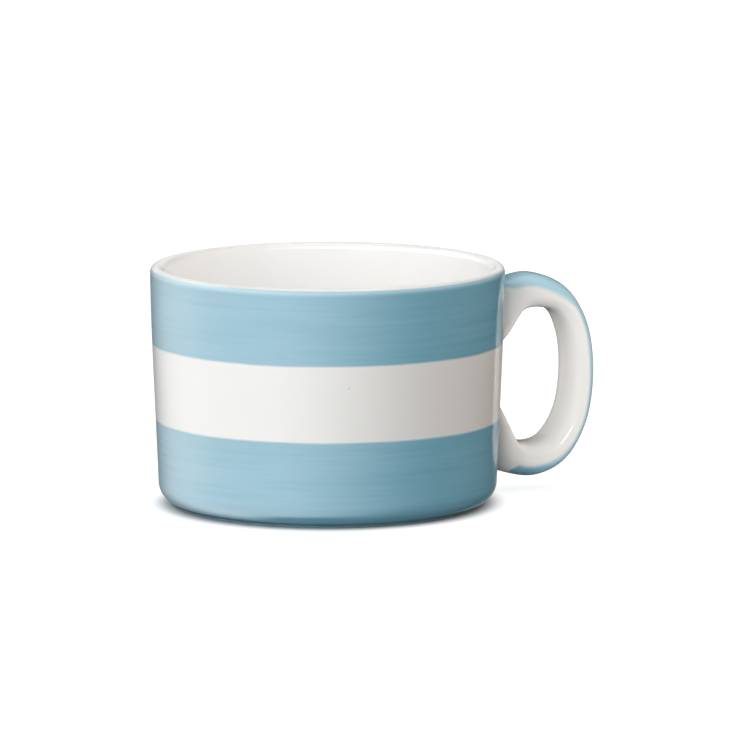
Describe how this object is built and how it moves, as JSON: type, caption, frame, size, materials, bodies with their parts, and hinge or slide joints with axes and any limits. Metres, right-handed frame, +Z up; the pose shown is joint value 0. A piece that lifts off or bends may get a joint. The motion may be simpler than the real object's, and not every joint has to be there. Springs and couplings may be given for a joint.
{
  "type": "wide mug",
  "caption": "Wide, low glazed ceramic mug with an oval loop handle, brushed pale blue bands above and below a plain white band, and a blue stripe on the handle's back.",
  "frame": {"origin": "middle of the footprint (bounding box) on the table plane; the cup's own axis is the upright line at x = -16.15 mm, y = 0", "axes": "+Z up; +X from the cup's axis towards the handle, whose middle plane is XZ"},
  "size_m": [0.1344, 0.1022, 0.069],
  "materials": {
    "white_glaze": "gloss",
    "fired_slip": "gloss",
    "blue_glaze": "gloss"
  },
  "bodies": {
    "root": {"cup_body": "white_glaze", "handle": "white_glaze", "upper_handle_slip": "fired_slip", "lower_handle_slip": "fired_slip", "upper_blue_band": "blue_glaze", "lower_blue_band": "blue_glaze", "handle_blue_stripe": "blue_glaze"}
  },
  "joints": []
}
